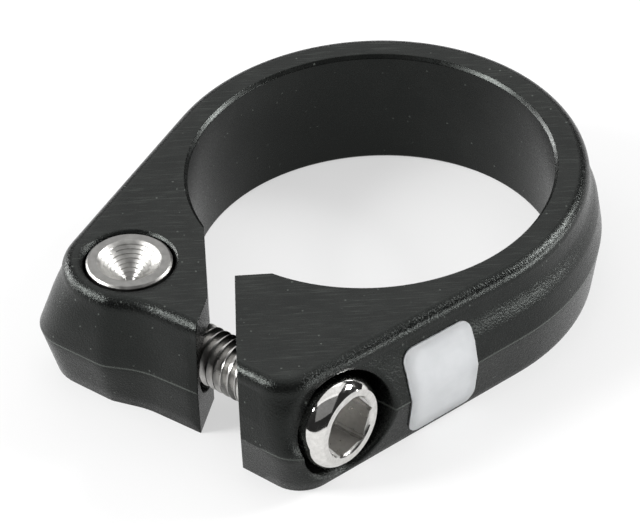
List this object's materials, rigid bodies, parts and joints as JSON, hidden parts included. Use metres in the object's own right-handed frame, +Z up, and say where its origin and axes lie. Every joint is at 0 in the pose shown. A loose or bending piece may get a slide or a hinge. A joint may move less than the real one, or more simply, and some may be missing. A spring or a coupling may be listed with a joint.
{
  "type": "seatpost clamp",
  "caption": "Black forged split collar with a slanted slot between two ears, drawn together by a domed socket-head bolt and a barrel nut to grip a bicycle seat tube.",
  "frame": {"origin": "on the bore's axis in the plane of the bottom face", "axes": "+Z up along the bore, +X along the bolt towards its head, -Y towards the two ears"},
  "size_m": [0.0394, 0.0481, 0.0115],
  "materials": {
    "collar_coat": "semi-gloss black coat with a fine speckle",
    "nut_steel": "turned bright steel",
    "bolt_steel": "polished",
    "label_film": "satin silver film with nothing printed on it"
  },
  "bodies": {
    "collar": {"clamp_collar": "collar_coat", "blank_label": "label_film"},
    "nut": {"barrel_nut": "nut_steel"},
    "bolt": {"clamp_bolt": "bolt_steel"}
  },
  "joints": [
    {"name": "nut_pivot", "type": "hinge", "parent": "collar", "child": "nut", "pos_m": [-0.0084, -0.02215, 0.0057], "axis": [0, 0, 1], "range_deg": [-0.7, 0.7]},
    {"name": "bolt_turn", "type": "hinge", "parent": "nut", "child": "bolt", "pos_m": [0, -0.02215, 0.00535], "axis": [1, 0, 0], "continuous": true}
  ]
}
